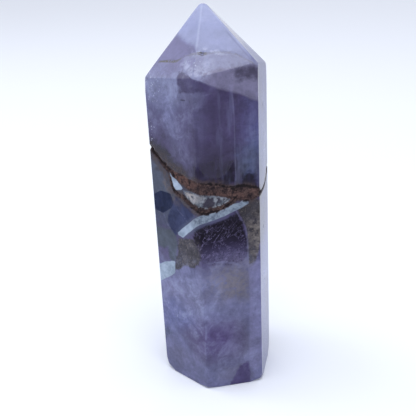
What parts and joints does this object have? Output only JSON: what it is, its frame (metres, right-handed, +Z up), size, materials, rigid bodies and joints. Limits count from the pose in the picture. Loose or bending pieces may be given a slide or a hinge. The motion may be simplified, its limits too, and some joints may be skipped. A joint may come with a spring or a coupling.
{
  "type": "chevron amethyst generator",
  "caption": "Polished hexagonal quartz tower in banded purple and white, with a flat cut foot, a faceted point and a rusty weathered vein across the middle.",
  "frame": {"origin": "middle of the flat foot, where the tower's upright axis meets the surface it stands on", "axes": "+Z up the tower to its point; -Y towards the front wall with the white band; +X to the right of that view"},
  "size_m": [0.0255, 0.0247, 0.0842],
  "materials": {
    "banded_amethyst": "polished, cloudy purple quartz with a brown iron-stained vein and a white band"
  },
  "bodies": {
    "root": {"crystal": "banded_amethyst"}
  },
  "joints": []
}
